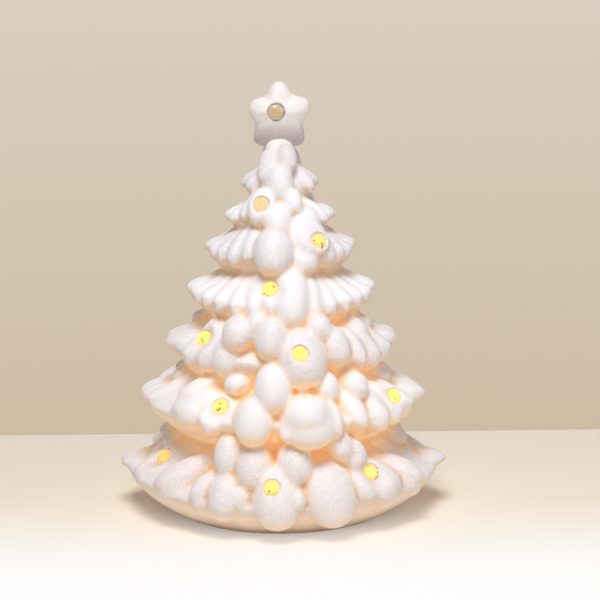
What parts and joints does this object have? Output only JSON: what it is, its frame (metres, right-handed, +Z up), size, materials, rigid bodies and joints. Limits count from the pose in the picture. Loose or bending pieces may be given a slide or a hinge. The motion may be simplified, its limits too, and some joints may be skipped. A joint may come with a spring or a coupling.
{
  "type": "lit ceramic christmas tree",
  "caption": "White ceramic christmas tree with a star and cut gems, lit from inside by a battery lamp base with a hinged door and a slide switch.",
  "frame": {"origin": "centre of the foot, on the surface that the tree stands on", "axes": "+Z up to the star, -Y to the front that shows the star's gem, +X to the right seen from the front"},
  "size_m": [0.1536, 0.156, 0.2],
  "materials": {
    "porcelain": "unglazed white bisque",
    "gem": "clear cut acrylic, lit from behind",
    "housing": "moulded white",
    "silicone": "cured white silicone",
    "cell": "printed sleeve over a steel can",
    "contact": "nickel-plated spring steel",
    "board": "white solder mask",
    "lamp": "clear warm lamp",
    "resistor": "painted",
    "screw": "zinc-plated",
    "switch_case": "moulded black",
    "switch_slider": "moulded black",
    "lead_red": "PVC sleeve",
    "lead_black": "PVC sleeve"
  },
  "bodies": {
    "root": {"tree_body": "porcelain", "gem_star": "gem", "gem_t2_front": "gem", "gem_t3_front": "gem", "gem_t4_front": "gem", "gem_t5_front_left": "gem", "gem_t5_front": "gem", "gem_t6_front_left": "gem", "gem_t6_front_right": "gem", "gem_t7_front_left": "gem", "gem_t7_front": "gem", "gem_t7_front_right": "gem", "gem_t2_back": "gem", "gem_t3_back": "gem", "gem_t4_back": "gem", "gem_t5_back_left": "gem", "gem_t5_back": "gem", "gem_t6_back_left": "gem", "gem_t6_back_right": "gem", "gem_t7_back_left": "gem", "gem_t7_back": "gem", "gem_t7_back_right": "gem", "base_housing": "housing", "base_seal": "silicone", "battery_1": "cell", "battery_2": "cell", "battery_3": "cell", "contact_positive": "contact", "contact_negative": "contact", "contact_bridge_near": "contact", "contact_bridge_far": "contact", "led_board": "board", "led_1": "lamp", "led_2": "lamp", "led_3": "lamp", "resistor": "resistor", "board_screws": "screw", "switch_case": "switch_case", "switch_screws": "screw", "lead_battery": "lead_red", "lead_switch": "lead_red", "lead_return": "lead_black"},
    "battery_door": {"battery_door": "housing"},
    "switch_slider": {"switch_slider": "switch_slider"}
  },
  "joints": [
    {"name": "door_hinge", "type": "hinge", "parent": "root", "child": "battery_door", "pos_m": [0, -0.01055, 0.0031], "axis": [-1, 0, 0], "range_deg": [0, 100]},
    {"name": "switch_slide", "type": "slide", "parent": "root", "child": "switch_slider", "axis": [1, 0, 0], "range_m": [0, 0.002]}
  ]
}
